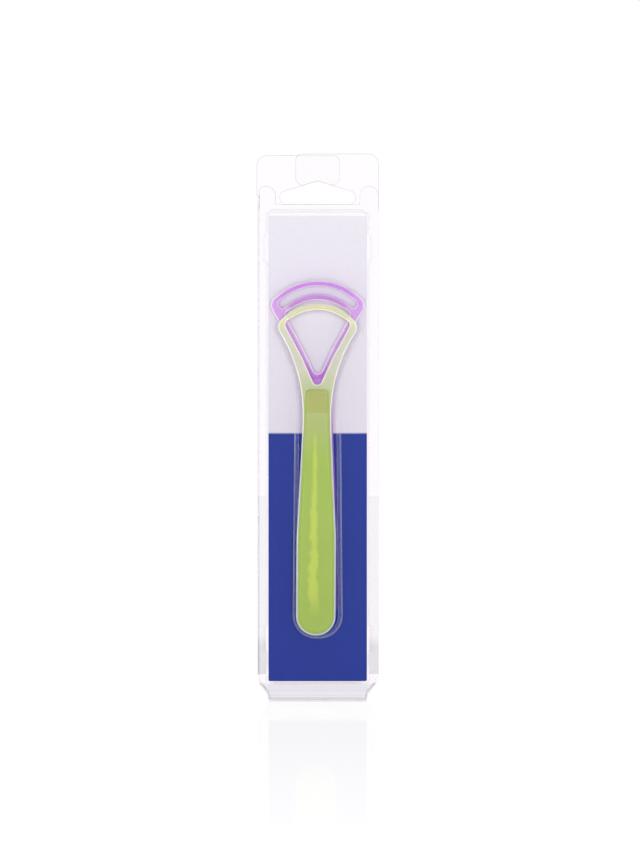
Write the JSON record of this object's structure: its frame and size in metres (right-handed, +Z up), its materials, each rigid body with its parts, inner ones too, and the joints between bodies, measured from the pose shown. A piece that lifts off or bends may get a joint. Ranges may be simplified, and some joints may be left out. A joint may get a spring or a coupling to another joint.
{
  "type": "tongue scraper pack",
  "caption": "Clear hinged stand-up pack with a peg hole, holding a single-edged and a double-edged hoop tongue scraper in front of a two-tone card.",
  "frame": {"origin": "on the floor, under the middle of the plane where the two halves of the pack meet", "axes": "+Z up along the pack's length, the front faces -Y, +X to the viewer's right"},
  "size_m": [0.0524, 0.0215, 0.2352],
  "materials": {
    "clear_sheet": "clear gloss PET sheet",
    "clear_fold": "clear gloss PET sheet, folded",
    "card": "coated board printed in two fields",
    "lime_plastic": "moulded translucent polypropylene",
    "lilac_plastic": "moulded translucent polypropylene"
  },
  "bodies": {
    "back_half": {"back_shell": "clear_sheet", "fold_hinge": "clear_fold", "insert_card": "card"},
    "front_half": {"front_shell": "clear_sheet", "double_blade_scraper": "lilac_plastic"},
    "single_blade": {"single_blade_scraper": "lime_plastic"}
  },
  "joints": [
    {"name": "shell_fold", "type": "hinge", "parent": "back_half", "child": "front_half", "pos_m": [-0.02574, 0, 0.114], "axis": [0, 0, -1], "range_deg": [0, 175]},
    {"name": "single_blade_play", "type": "slide", "parent": "front_half", "child": "single_blade", "axis": [0, 0, 1], "range_m": [0, 0.01]}
  ]
}
